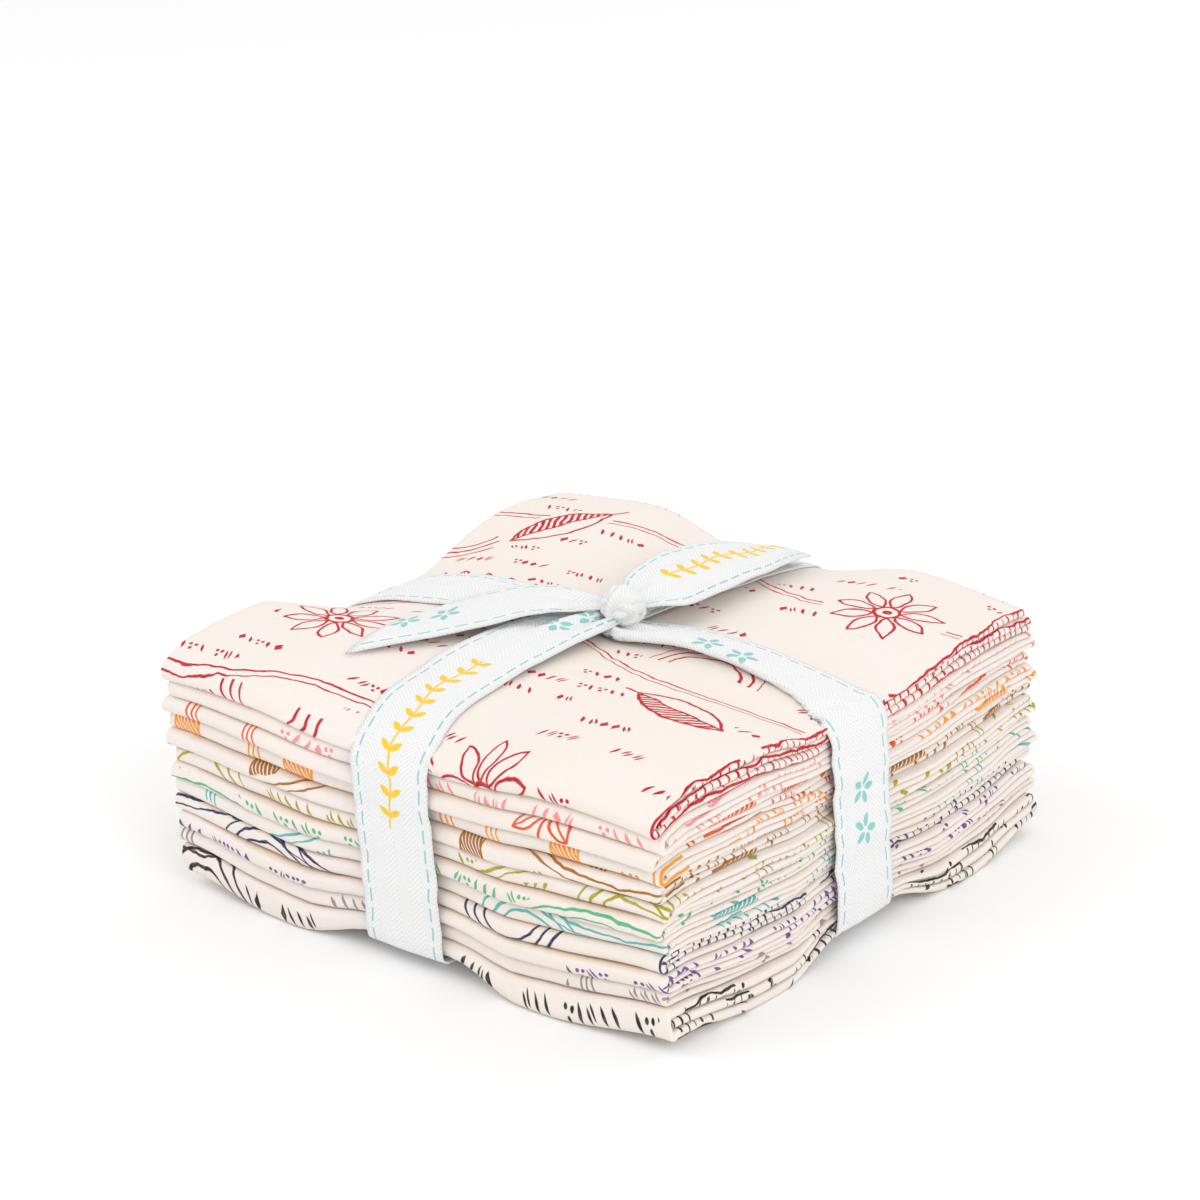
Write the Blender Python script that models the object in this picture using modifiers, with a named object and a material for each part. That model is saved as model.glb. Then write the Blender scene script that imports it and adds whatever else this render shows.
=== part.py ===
# Fat quarter bundle: twelve folded cuts of quilting cotton in one stack, tied both
# ways with a twill ribbon that is knotted on top.
# Metres, +Z up. The rolled folds face -Y, the layered fold edges face +X.
#
# Every fat quarter is one sheet folded back and forth in three passes. The passes are
# laid out flat first, in a pressed stack of even height, and pillow() then bends the
# whole stack at once: down under the ribbon, up in the four lobes between.

import math

import bmesh
import bpy

MM = 0.001

# The stack
HALF_LENGTH = 72.0 * MM         # along X
HALF_WIDTH = 76.0 * MM          # along Y
LEAF = 1.3 * MM                 # one pass of a fat quarter, with its four layers of cotton
AIR = 0.47 * MM                 # left between passes, and between fat quarters
PASS_PITCH = LEAF + AIR
PASSES = 3
PIECE_PITCH = PASSES * PASS_PITCH

# The ribbon
RIBBON_HALF = 11.1 * MM         # half of a 7/8 inch twill ribbon
RIBBON_THICK = 1.0 * MM
RIBBON_AIR = 0.5 * MM           # over and under the stack
RIBBON_SIDE_AIR = 1.8 * MM      # beside the stack, where single folds stand out a little
LONG_CORNER = 1.0 * MM          # radius at the corners of the wrap along the length
CROSS_CORNER = 2.0 * MM         # and of the wrap across it, which goes over round folds
CORNER_STEPS = 2                # sides of a corner
SIDE_ROWS = 5                   # spans between the rows of points down a side
GATHERED_HALF = 5.6 * MM        # half width where the ribbon is drawn into the knot
GATHER_START = 4.0 * MM         # from the middle of the top
GATHER_RUN = 24.0 * MM
CROSSING_HALF = 13.6 * MM       # stretch where the upper band lies on the lower one
CROSSING_RUN = 14.0 * MM
CROSSING_ROW = 5.0 * MM         # extra rows of points beside the middle
CROSSING_STEP = 1.45 * MM       # how much higher the upper band runs there
KNOT_RISE = 0.4 * MM            # both bands lift off the cloth towards the knot
KNOT_RISE_RUN = 30.0 * MM

# The pillow shape. Front is -Y, right is +X.
CROWN = 61.0 * MM               # top of the lobes above the floor
TOP_LOOSE = 0.027               # share of the height that the loose top piece takes besides its own
BASE_LOOSE = 0.055              # the same for the bottom piece, in the four lobes
LOOSE_RUN = 32.0 * MM           # from the ribbon's edge to where the bottom piece is loosest
TOP_DIP = {                     # how far the ribbon pulls the top down
    "middle": 1.6 * MM,
    "front": 4.8 * MM,
    "back": 6.0 * MM,
    "left": 8.5 * MM,
    "right": 6.0 * MM,
    "run": 32.0 * MM,           # from the ribbon's edge to the full height of a lobe
    "back_left_run": 50.0 * MM,
}
BASE_LIFT = {                   # how far it lifts the underside
    "middle": 3.6 * MM,
    "front": 4.6 * MM,
    "back": 4.6 * MM,
    "left": 3.6 * MM,
    "right": 4.6 * MM,
    "run": 20.0 * MM,
    "back_left_run": 20.0 * MM,
}
DIP_GROWTH = 3                  # power by which a dip deepens from the middle to an edge
EDGE_FALL = 1.2 * MM            # the top rounds off a little towards three sides
EDGE_GROWTH = 6
FRONT_FALL = 3.0 * MM           # and more over the round folds of the front
FRONT_GROWTH = 8
CORNER_FALL = 3.0 * MM          # three corners sag, the front left one stays full
CORNER_GROWTH = 3
CORNER_LIFT = 3.2 * MM          # the underside curls up at the corners
CURL_START = 0.55               # from this product of the plan shares on
LEAN = 4.0 * MM                 # the stack has slid towards +X at its foot
BULGE = 2.4 * MM                # each lobe swells out between the ribbon and a corner
CORNER_TUCK = 0.9               # share of that lost again at the corner
REACH = 1.1                     # the pillow is worked out as far as this share of the plan

# Where each sheet has a row of points, in millimetres from the middle
STATIONS_X = (-72.0, -64.0, -50.0, -33.0, -11.6, 11.6, 33.0, 50.0, 64.0, 72.0)
STATIONS_Y = (-58.0, -33.0, -11.6, 11.6, 33.0, 58.0)
EDGE_MARGIN = 1.0               # points this far beyond the last inner row belong to the edge
ROLL_STEPS = 4                  # sides of the large turn
TURN_STEPS = 3                  # sides of the small turn

# From the floor up: name, ink colour, shift along X, shift along Y and set-back of the
# free end (mm)
FAT_QUARTERS = (
    ("black", (0.16, 0.14, 0.15), 0.9, -0.5, 1.5),
    ("grey", (0.55, 0.51, 0.50), -0.4, 0.4, 0.5),
    ("purple", (0.40, 0.31, 0.58), 0.6, -0.8, 2.0),
    ("navy", (0.14, 0.18, 0.36), -0.7, 0.2, 0.8),
    ("teal", (0.36, 0.67, 0.68), 0.3, 0.7, 1.2),
    ("green", (0.33, 0.68, 0.47), -0.2, -0.6, 2.2),
    ("olive", (0.66, 0.62, 0.13), 0.8, 0.5, 0.6),
    ("mustard", (0.64, 0.40, 0.08), -0.9, -0.2, 1.8),
    ("amber", (0.93, 0.57, 0.12), 0.4, 0.8, 1.0),
    ("coral", (0.86, 0.33, 0.15), -0.5, -0.7, 2.4),
    ("pink", (0.92, 0.58, 0.58), 0.7, 0.3, 0.7),
    ("red", (0.72, 0.08, 0.14), -0.3, -0.4, 1.4),
)
STACK = len(FAT_QUARTERS) * PIECE_PITCH - AIR
TOP_PIECE_LEVEL = STACK - PIECE_PITCH
GROUND = (0.91, 0.86, 0.80)     # natural cotton under every print
INK_SHARE = 0.18                # how much of a face is ink, seen from a step away
COTTON_ROUGHNESS = 0.9
TWILL = (0.93, 0.93, 0.92)
TWILL_ROUGHNESS = 0.7
SMOOTH_ANGLE = 35.0             # degrees; steeper edges than this stay sharp

# Knot: middle above the floor and half sizes
KNOT_AT = (1.5 * MM, 2.5 * MM, 66.8 * MM)
KNOT_HALF = (4.9 * MM, 4.7 * MM, 4.2 * MM)
KNOT_SEGMENTS = 16
KNOT_RINGS = 9
KNOT_DENT = 0.10                # how deep the crossing folds press into it

# The two free ends, as pairs of edge points. Columns: first edge x, y and height over
# the cloth, second edge x, y and height over the cloth (mm). The last row is the slant
# cut.
TAIL_LEFT = (
    (-4.4, 4.0, 6.2, -4.0, -1.6, 6.2),
    (-14.0, 4.4, 6.2, -8.2, -9.0, 5.6),
    (-26.4, -2.4, 5.0, -13.8, -19.2, 4.6),
    (-33.4, -9.8, 3.6, -20.2, -29.6, 3.2),
    (-38.0, -16.0, 1.9, -26.6, -41.0, 1.8),
    (-40.2, -20.6, 1.0, -34.6, -55.6, 0.8),
)
TAIL_RIGHT = (
    (-1.6, 8.4, 6.6, 6.4, 8.0, 6.4),
    (-7.4, 14.4, 7.2, 12.6, 11.6, 6.0),
    (-9.0, 26.0, 7.6, 13.8, 24.0, 5.0),
    (-8.2, 42.0, 7.0, 14.0, 40.0, 4.6),
    (-7.8, 55.0, 5.4, 13.6, 53.0, 4.4),
    (-7.2, 65.0, 4.0, 9.4, 70.4, 3.2),
)


def clear_scene():
    for thing in list(bpy.data.objects):
        bpy.data.objects.remove(thing, do_unlink=True)


def ease(value):
    value = min(max(value, 0.0), 1.0)
    return value * value * (3.0 - 2.0 * value)


def under_ribbon(x, y, depth):
    """How far the pull of both bands reaches at a point of the plan."""
    end = depth["front"] if y < 0.0 else depth["back"]
    side = depth["left"] if x < 0.0 else depth["right"]
    side_run = depth["back_left_run"] if x < 0.0 < y else depth["run"]
    middle = depth["middle"]
    along_y = middle + (end - middle) * min(abs(y) / HALF_WIDTH, REACH) ** DIP_GROWTH
    along_x = middle + (side - middle) * min(abs(x) / HALF_LENGTH, REACH) ** DIP_GROWTH
    along_y *= 1.0 - ease((abs(x) - RIBBON_HALF) / depth["run"])
    along_x *= 1.0 - ease((abs(y) - RIBBON_HALF) / side_run)
    return math.hypot(along_x, along_y)


def top_height(x, y):
    a = x / HALF_LENGTH
    b = y / HALF_WIDTH
    side_fall = EDGE_FALL * min(max(abs(a), b), REACH) ** EDGE_GROWTH
    front_fall = FRONT_FALL * min(max(-b, 0.0), REACH) ** FRONT_GROWTH
    height = CROWN - under_ribbon(x, y, TOP_DIP) - max(side_fall, front_fall)
    if a > 0.0 or b > 0.0:
        height -= CORNER_FALL * min(abs(a * b), REACH) ** CORNER_GROWTH
    return height


def base_height(x, y):
    a = abs(x) / HALF_LENGTH
    b = abs(y) / HALF_WIDTH
    curl = ease((a * b - CURL_START) / (1.0 - CURL_START))
    return under_ribbon(x, y, BASE_LIFT) + CORNER_LIFT * curl


def swell(distance, half):
    """0 beside the ribbon, 1 at the middle of a lobe, nearly 0 again at the corner."""
    rise = ease((distance - RIBBON_HALF) / (0.5 * half - RIBBON_HALF))
    return rise * (1.0 - CORNER_TUCK * ease(distance / half * 2.0 - 1.0))


def share_of(level, x, y):
    """Share of the height at a level of the flat stack. The top and bottom pieces are loose."""
    loose = ease((abs(x) - RIBBON_HALF) / LOOSE_RUN) * ease((abs(y) - RIBBON_HALF) / LOOSE_RUN)
    low = PIECE_PITCH / STACK + BASE_LOOSE * loose
    high = TOP_PIECE_LEVEL / STACK - TOP_LOOSE
    if level < PIECE_PITCH:
        return low * level / PIECE_PITCH
    if level < TOP_PIECE_LEVEL:
        return low + (high - low) * (level - PIECE_PITCH) / (TOP_PIECE_LEVEL - PIECE_PITCH)
    return high + (1.0 - high) * (level - TOP_PIECE_LEVEL) / (STACK - TOP_PIECE_LEVEL)


def pillow(x, y, level):
    """Bend a point of the flat pressed stack to where the tied bundle holds it."""
    share = share_of(level, x, y)
    a = min(abs(x) / HALF_LENGTH, REACH)
    b = min(abs(y) / HALF_WIDTH, REACH)
    out_x = math.copysign(a * a * BULGE * swell(abs(y), HALF_WIDTH), x)
    out_y = math.copysign(b * b * BULGE * swell(abs(x), HALF_LENGTH), y)
    base = base_height(x, y)
    height = base + share * (top_height(x, y) - base)
    return (x + out_x + LEAN * (0.5 - share), y + out_y, height)


def make_material(name, colour, roughness):
    material = bpy.data.materials.new(name)
    material.use_nodes = True
    shader = material.node_tree.nodes["Principled BSDF"]
    shader.inputs["Base Color"].default_value = (*colour, 1.0)
    shader.inputs["Roughness"].default_value = roughness
    shader.inputs["Metallic"].default_value = 0.0
    return material


def finish_object(name, bm, material):
    mesh = bpy.data.meshes.new(name)
    bm.to_mesh(mesh)
    bm.free()
    mesh.materials.append(material)
    mesh.shade_smooth()
    mesh.set_sharp_from_angle(angle=math.radians(SMOOTH_ANGLE))
    thing = bpy.data.objects.new(name, mesh)
    bundle.objects.link(thing)
    return thing


def turn_points(centre_y, centre_level, radius, start_deg, sweep_deg, steps):
    """Points and outward directions inside a turn of the fold, without its two ends."""
    points = []
    for step in range(1, steps):
        angle = math.radians(start_deg + sweep_deg * step / steps)
        direction = (math.cos(angle), math.sin(angle))
        points.append((centre_y + radius * direction[0], centre_level + radius * direction[1], direction))
    return points


def fold_path(free_end_back):
    """Middle line of one fat quarter in the YZ plane: (y, level, offset direction)."""
    low, middle, high = [LEAF / 2.0 + n * PASS_PITCH for n in range(PASSES)]
    roll_y = -HALF_WIDTH + PASS_PITCH + LEAF / 2.0
    turn_y = HALF_WIDTH - PASS_PITCH / 2.0 - LEAF / 2.0
    rows = [y * MM for y in STATIONS_Y]
    path = [(turn_y - free_end_back, high, (0.0, 1.0))]
    path += [(y, high, (0.0, 1.0)) for y in reversed(rows)]
    path.append((roll_y, high, (0.0, 1.0)))
    path += turn_points(roll_y, middle, PASS_PITCH, 90.0, 180.0, ROLL_STEPS)
    path.append((roll_y, low, (0.0, -1.0)))
    path += [(y, low, (0.0, -1.0)) for y in rows]
    path.append((turn_y, low, (0.0, -1.0)))
    path += turn_points(turn_y, (low + middle) / 2.0, PASS_PITCH / 2.0, -90.0, 180.0, TURN_STEPS)
    path.append((turn_y, middle, (0.0, 1.0)))
    path += [(y, middle, (0.0, 1.0)) for y in reversed(rows)]
    path.append((roll_y, middle, (0.0, 1.0)))
    return path


def slide_edge(value, inner_station, shift):
    """Only the edge of a sheet slides. Its inner rows of points stay over those below."""
    return value + shift * MM if abs(value) > (inner_station + EDGE_MARGIN) * MM else value


def split_quads(bm):
    """Cut each four-sided face along the same diagonal in plan, so layers stay parallel."""
    for face in [f for f in bm.faces if len(f.verts) == 4]:
        a, b, c, d = face.verts
        rising = (c.co.x - a.co.x) * (c.co.y - a.co.y) >= 0.0
        bmesh.utils.face_split(face, *((a, c) if rising else (b, d)))


def make_fat_quarter(number, name, ink, shift_x, shift_y, free_end_back):
    """Extrude the folded section along X in steps, and bend the result."""
    floor_level = number * PIECE_PITCH
    path = fold_path(free_end_back * MM)
    bm = bmesh.new()
    rails = []
    for y, level, (out_y, out_z) in path:
        outer = (STATIONS_X[0] * MM, y + out_y * LEAF / 2.0, level + out_z * LEAF / 2.0)
        inner = (STATIONS_X[0] * MM, y - out_y * LEAF / 2.0, level - out_z * LEAF / 2.0)
        rails.append((bm.verts.new(outer), bm.verts.new(inner)))
    section = [bm.faces.new((a[0], a[1], b[1], b[0])) for a, b in zip(rails, rails[1:])]
    for start, stop in zip(STATIONS_X, STATIONS_X[1:]):
        first = start == STATIONS_X[0]
        grown = bmesh.ops.extrude_face_region(bm, geom=section, use_keep_orig=first)["geom"]
        moved = [v for v in grown if isinstance(v, bmesh.types.BMVert)]
        bmesh.ops.translate(bm, verts=moved, vec=((stop - start) * MM, 0.0, 0.0))
        if not first:
            bmesh.ops.delete(bm, geom=[f for f in section if f.is_valid], context="FACES_ONLY")
        section = [f for f in grown if isinstance(f, bmesh.types.BMFace)]
    split_quads(bm)
    for vert in bm.verts:
        x, y, level = vert.co
        x = slide_edge(x, STATIONS_X[-2], shift_x)
        y = slide_edge(y, STATIONS_Y[-1], shift_y)
        vert.co = pillow(x, y, floor_level + level)
    bmesh.ops.recalc_face_normals(bm, faces=bm.faces)
    colour = [g + (i - g) * INK_SHARE for g, i in zip(GROUND, ink)]
    material = make_material("printed_cotton_" + name, colour, COTTON_ROUGHNESS)
    return finish_object("fat_quarter_" + name, bm, material)


def band_path(half_span, corner, stations):
    """Closed path round the flat stack: (distance from the middle, level)."""
    rows = sorted([row * MM for row in stations] + [-CROSSING_ROW, CROSSING_ROW])
    heights = [STACK * row / SIDE_ROWS for row in range(1, SIDE_ROWS)]
    reach = half_span + RIBBON_SIDE_AIR
    top = STACK + RIBBON_AIR
    bottom = -RIBBON_AIR
    path = arc(reach - corner, top - corner, corner, 0.0)
    path += [(row, top) for row in reversed(rows)]
    path += arc(corner - reach, top - corner, corner, 90.0)
    path += [(-reach, height) for height in reversed(heights)]
    path += arc(corner - reach, bottom + corner, corner, 180.0)
    path += [(row, bottom) for row in rows]
    path += arc(reach - corner, bottom + corner, corner, 270.0)
    path += [(reach, height) for height in heights]
    return path


def arc(across, up, radius, start_deg):
    """A quarter turn round a point, with both its ends."""
    points = []
    for step in range(CORNER_STEPS + 1):
        angle = math.radians(start_deg + 90.0 * step / CORNER_STEPS)
        points.append((across + radius * math.cos(angle), up + radius * math.sin(angle)))
    return points


def make_band(name, along_x, half_span, stations, corner, upper, material):
    """One wrap of the ribbon round the bundle, a strip with Solidify."""
    bm = bmesh.new()
    rings = []
    for distance, level in band_path(half_span, corner, stations):
        on_top = level > STACK
        underneath = level < 0.0
        half = RIBBON_HALF
        if on_top:
            gather = ease((abs(distance) - GATHER_START) / GATHER_RUN)
            half = GATHERED_HALF + (RIBBON_HALF - GATHERED_HALF) * gather
            level += KNOT_RISE * (1.0 - ease(abs(distance) / KNOT_RISE_RUN))
        if upper and (on_top or underneath):
            step = CROSSING_STEP * (1.0 - ease((abs(distance) - CROSSING_HALF) / CROSSING_RUN))
            level += step if on_top else -step
        ring = []
        for share in (-1.0, 0.0, 1.0):
            x, y = (distance, share * half) if along_x else (-share * half, distance)
            ring.append(bm.verts.new(pillow(x, y, level)))
        rings.append(ring)
    for ring, following in zip(rings, rings[1:] + rings[:1]):
        for n in range(2):
            bm.faces.new((ring[n], ring[n + 1], following[n + 1], following[n]))
    thing = finish_object(name, bm, material)
    thicken(thing, RIBBON_THICK, outwards=1.0)
    return thing


def thicken(thing, thickness, outwards):
    solidify = thing.modifiers.new("thickness", "SOLIDIFY")
    solidify.thickness = thickness
    solidify.offset = outwards
    solidify.use_even_offset = True


def make_tail(name, rows, material):
    """A free end of the ribbon, from its two edges."""
    bm = bmesh.new()
    sections = []
    for x1, y1, over1, x2, y2, over2 in rows:
        section = []
        for share in (0.0, 0.5, 1.0):
            x = (x1 + (x2 - x1) * share) * MM
            y = (y1 + (y2 - y1) * share) * MM
            over = (over1 + (over2 - over1) * share) * MM
            flat_x = x + LEAN / 2.0
            section.append(bm.verts.new((x, y, top_height(flat_x, y) + over)))
        sections.append(section)
    for section, following in zip(sections, sections[1:]):
        for n in range(2):
            bm.faces.new((section[n], section[n + 1], following[n + 1], following[n]))
    thing = finish_object(name, bm, material)
    thicken(thing, RIBBON_THICK, outwards=0.0)
    return thing


def make_knot(material):
    bm = bmesh.new()
    bmesh.ops.create_uvsphere(bm, u_segments=KNOT_SEGMENTS, v_segments=KNOT_RINGS, radius=1.0)
    for vert in bm.verts:
        turn = math.atan2(vert.co.y, vert.co.x)
        dent = 1.0 - KNOT_DENT * (0.5 - 0.5 * math.cos(4.0 * turn)) * (1.0 - vert.co.z ** 2)
        for axis in range(3):
            vert.co[axis] *= dent * KNOT_HALF[axis]
    thing = finish_object("ribbon_knot", bm, material)
    thing.location = KNOT_AT
    return thing


def stand_on_origin(things):
    """Put the middle of the bundle's box over the origin, by the parent's location."""
    holder = bpy.data.objects.new("bundle_holder", None)
    bundle.objects.link(holder)
    bpy.context.view_layer.update()
    graph = bpy.context.evaluated_depsgraph_get()
    corners = []
    for thing in things:
        thing.parent = holder
        solid = thing.evaluated_get(graph)
        corners += [solid.matrix_world @ v.co for v in solid.data.vertices]
    for axis in range(2):
        values = [corner[axis] for corner in corners]
        holder.location[axis] = -(min(values) + max(values)) / 2.0


clear_scene()
bundle = bpy.data.collections.new("fat_quarter_bundle")
bpy.context.scene.collection.children.link(bundle)

parts = []
for number, row in enumerate(FAT_QUARTERS):
    parts.append(make_fat_quarter(number, *row))

twill = make_material("white_twill", TWILL, TWILL_ROUGHNESS)
parts.append(make_band("ribbon_wrap_long", True, HALF_LENGTH, STATIONS_X[1:-1], LONG_CORNER, False, twill))
parts.append(make_band("ribbon_wrap_cross", False, HALF_WIDTH, STATIONS_Y, CROSS_CORNER, True, twill))
parts.append(make_knot(twill))
parts.append(make_tail("ribbon_tail_left", TAIL_LEFT, twill))
parts.append(make_tail("ribbon_tail_right", TAIL_RIGHT, twill))
stand_on_origin(parts)
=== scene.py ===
import math

import bpy
import numpy as np
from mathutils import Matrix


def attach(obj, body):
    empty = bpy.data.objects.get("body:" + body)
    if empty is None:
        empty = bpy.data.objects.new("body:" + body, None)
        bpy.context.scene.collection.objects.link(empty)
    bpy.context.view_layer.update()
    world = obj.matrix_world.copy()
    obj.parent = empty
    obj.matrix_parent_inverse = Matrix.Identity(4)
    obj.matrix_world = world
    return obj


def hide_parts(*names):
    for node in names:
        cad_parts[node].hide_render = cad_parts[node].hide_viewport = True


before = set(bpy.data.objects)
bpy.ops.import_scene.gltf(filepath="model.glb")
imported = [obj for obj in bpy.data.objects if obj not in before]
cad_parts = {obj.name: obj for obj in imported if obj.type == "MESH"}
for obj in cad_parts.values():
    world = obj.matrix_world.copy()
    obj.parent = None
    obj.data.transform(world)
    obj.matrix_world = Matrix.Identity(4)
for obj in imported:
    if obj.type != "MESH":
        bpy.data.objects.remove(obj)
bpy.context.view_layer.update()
scene = bpy.context.scene
mm = 0.001
fullTurn = 2.0 * math.pi
print("frame loaded:", len(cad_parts), "nodes")


# The camera stands where the photo was taken from
camera = {
    "place": (0.4860, -0.6354, 0.3647),
    "tilt": 69.5,       # degrees up from straight down
    "turn": 37.6,
    "lens": 108.0,
    "sensor": 36.0,
}


def setUpCamera():
    eye = bpy.data.cameras.new("bundleCamera")
    eye.lens = camera["lens"]
    eye.sensor_width = camera["sensor"]
    eye.clip_start = 0.01
    eye.clip_end = 20.0
    holder = bpy.data.objects.new("bundleCamera", eye)
    holder.location = camera["place"]
    holder.rotation_euler = (math.radians(camera["tilt"]), 0.0, math.radians(camera["turn"]))
    scene.collection.objects.link(holder)
    scene.camera = holder


setUpCamera()
print("camera set")


# The shape of the tied stack, in millimetres. Front is -Y, right is +X.
stack = {
    "halfLength": 72.0,
    "halfWidth": 76.0,
    "passPitch": 1.77,
    "passes": 3,
    "pieces": 12,
    "leaf": 1.3,                   # thickness of a pass
    "air": 0.47,                   # between two passes
    "crown": 61.0,                 # height of the top before the ribbon pulls it down
    "topLoose": 0.027,             # share of the height that the loose top piece takes besides
    "baseLoose": 0.055,            # the same for the bottom piece, in the four lobes
    "looseRun": 32.0,
    # how far the ribbon draws the top down and the bottom up, and how wide that reaches
    "topDip": {"middle": 1.6, "front": 4.8, "back": 6.0, "left": 10.2, "right": 6.0,
               "run": 32.0, "backLeftRun": 50.0},
    "baseLift": {"middle": 3.6, "front": 4.6, "back": 4.6, "left": 3.6, "right": 4.6,
                 "run": 22.0, "backLeftRun": 22.0},
    "edgeFall": 1.2,               # the top falls away to its edges
    "frontFall": 3.2,              # and more over the front folds
    "shoulder": 1.6,               # and the loose top piece rounds off further
    "cornerFall": 3.0,
    "frontLeftFall": 1.2,          # that corner hangs less
    "cornerLift": 3.2,             # the bottom's corners curl up
    "curlStart": 0.55,
    "lean": 4.0,                   # from the bottom to the top, towards -X
    "bulge": 2.4,                  # of each side between ribbon and corner
    "cornerTuck": 0.9,
    "ribbonHalf": 11.1,            # a 7/8 inch twill ribbon
    "middle": (-0.17, 0.08),       # where the frame puts the middle of the stack
    "waviness": 0.14,              # how far the folds wander up and down
}
halfLength, halfWidth, ribbonHalf = stack["halfLength"], stack["halfWidth"], stack["ribbonHalf"]
piecePitch = stack["passPitch"] * stack["passes"]
stackHeight = stack["pieces"] * piecePitch - stack["air"]
topPieceLevel = stackHeight - piecePitch

# Soft troughs pressed into the top: from x, y, to x, y, half width, depth
topTroughs = (
    (-6, -8, -52, -44, 9, 0.9),
    (-8, -4, -60, -20, 7, 0.8),
    (8, -8, 40, -34, 8, 0.7),
    (10, -6, 58, -20, 6, 0.7),
    (-8, 6, -44, 40, 10, 1.0),
    (-6, 10, -22, 60, 7, 0.8),
    (8, 8, 34, 46, 9, 0.8),
    (12, 6, 60, 26, 7, 0.7),
    (-16, -50, -22, -74, 6, 0.7),
    (15, -48, 24, -74, 7, 0.6),
    (50, 17, 72, 26, 6, 0.6),
    (50, -16, 72, -22, 6, 0.6),
)


def ease(value):
    value = np.clip(value, 0.0, 1.0)
    return value * value * (3.0 - 2.0 * value)


def sway(seed, along, period):
    # a slow uneven wave of about -1 to 1
    starts = np.random.default_rng(seed).uniform(0.0, fullTurn, 3)
    total = 0.0
    for start, share, weight in zip(starts, (1.0, 0.57, 0.31), (0.55, 0.3, 0.2)):
        total = total + weight * np.sin(fullTurn * along / (period * share) + start)
    return total


def underRibbon(x, y, depth):
    # how far the pull of both bands reaches at a point of the plan
    end = np.where(y < 0.0, depth["front"], depth["back"]) - depth["middle"]
    side = np.where(x < 0.0, depth["left"], depth["right"]) - depth["middle"]
    sideRun = np.where((x < 0.0) & (y > 0.0), depth["backLeftRun"], depth["run"])
    alongY = depth["middle"] + end * np.minimum(abs(y) / halfWidth, 1.1) ** 3
    alongX = depth["middle"] + side * np.minimum(abs(x) / halfLength, 1.1) ** 3
    alongY = alongY * (1.0 - ease((abs(x) - ribbonHalf) / depth["run"]))
    alongX = alongX * (1.0 - ease((abs(y) - ribbonHalf) / sideRun))
    return np.hypot(alongX, alongY)


def troughDepth(x, y):
    depth = 0.0
    for x1, y1, x2, y2, halfTrough, deep in topTroughs:
        runX, runY = x2 - x1, y2 - y1
        length = math.hypot(runX, runY)
        share = np.clip(((x - x1) * runX + (y - y1) * runY) / length ** 2, 0.0, 1.0)
        away = np.hypot(x - x1 - share * runX, y - y1 - share * runY)
        depth = depth + deep * np.exp(-(away / halfTrough) ** 2) * (1.0 - 0.6 * share)
    return depth


def topHeight(x, y):
    shareX = x / halfLength
    shareY = y / halfWidth
    sideFall = stack["edgeFall"] * np.minimum(np.maximum(abs(shareX), shareY), 1.1) ** 6
    frontFall = stack["frontFall"] * np.clip(-shareY, 0.0, 1.1) ** 8
    height = stack["crown"] - underRibbon(x, y, stack["topDip"]) - np.maximum(sideFall, frontFall)
    fall = np.where((x < 0.0) & (y < 0.0), stack["frontLeftFall"], stack["cornerFall"])
    return height - fall * np.minimum(abs(shareX * shareY), 1.1) ** 3


def baseHeight(x, y):
    plan = abs(x * y) / (halfLength * halfWidth)
    curl = ease((plan - stack["curlStart"]) / (1.0 - stack["curlStart"]))
    return underRibbon(x, y, stack["baseLift"]) + stack["cornerLift"] * curl


def swell(distance, half):
    rise = ease((distance - ribbonHalf) / (0.5 * half - ribbonHalf))
    return rise * (1.0 - stack["cornerTuck"] * ease(distance / half * 2.0 - 1.0))


def shareOf(level, x, y):
    # share of the height at a level of the flat stack, whose top and bottom pieces are loose
    loose = (ease((abs(x) - ribbonHalf) / stack["looseRun"])
             * ease((abs(y) - ribbonHalf) / stack["looseRun"]))
    low = piecePitch / stackHeight + stack["baseLoose"] * loose
    high = topPieceLevel / stackHeight - stack["topLoose"]
    between = low + (high - low) * (level - piecePitch) / (topPieceLevel - piecePitch)
    above = high + (1.0 - high) * (level - topPieceLevel) / (stackHeight - topPieceLevel)
    return np.where(level < piecePitch, low * level / piecePitch,
                    np.where(level < topPieceLevel, between, above))


def grid(*parts):
    # spreads the parts over one grid of rows and columns
    return np.stack(np.broadcast_arrays(*parts), axis=-1)


def pillow(x, y, level):
    # bends a point of the flat stack to where the tied bundle holds it, in metres
    share = shareOf(level, x, y)
    edgeX = np.minimum(abs(x) / halfLength, 1.1)
    edgeY = np.minimum(abs(y) / halfWidth, 1.1)
    outX = np.sign(x) * edgeX ** 2 * stack["bulge"] * swell(abs(y), halfWidth)
    outY = np.sign(y) * edgeY ** 2 * stack["bulge"] * swell(abs(x), halfLength)
    base = baseHeight(x, y)
    height = base + share * (topHeight(x, y) - base)
    height = height - troughDepth(x, y) * np.clip(share, 0.0, 1.05) ** 5
    inTop = np.clip((level - topPieceLevel) / piecePitch, 0.0, 1.1)
    height = height - stack["shoulder"] * inTop * np.clip(-y / halfWidth, 0.0, 1.05) ** 14
    inner = np.clip(4.0 * share * (1.0 - share), 0.0, 1.0)
    height = height + stack["waviness"] * inner * (
        sway(11, level + 0.15 * x, 17.0) * sway(12, x + 0.3 * y, 95.0)
        + sway(13, level - 0.1 * y, 23.0) * sway(14, y - 0.4 * x, 80.0))
    outX = outX + 0.5 * edgeX ** 4 * sway(15, level + 0.08 * y, 19.0)
    outY = outY + 0.4 * edgeY ** 4 * sway(16, level + 0.06 * x, 16.0)
    shiftX, shiftY = stack["middle"]
    return grid(x + outX + stack["lean"] * (0.5 - share) + shiftX, y + outY + shiftY, height) * mm


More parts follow.
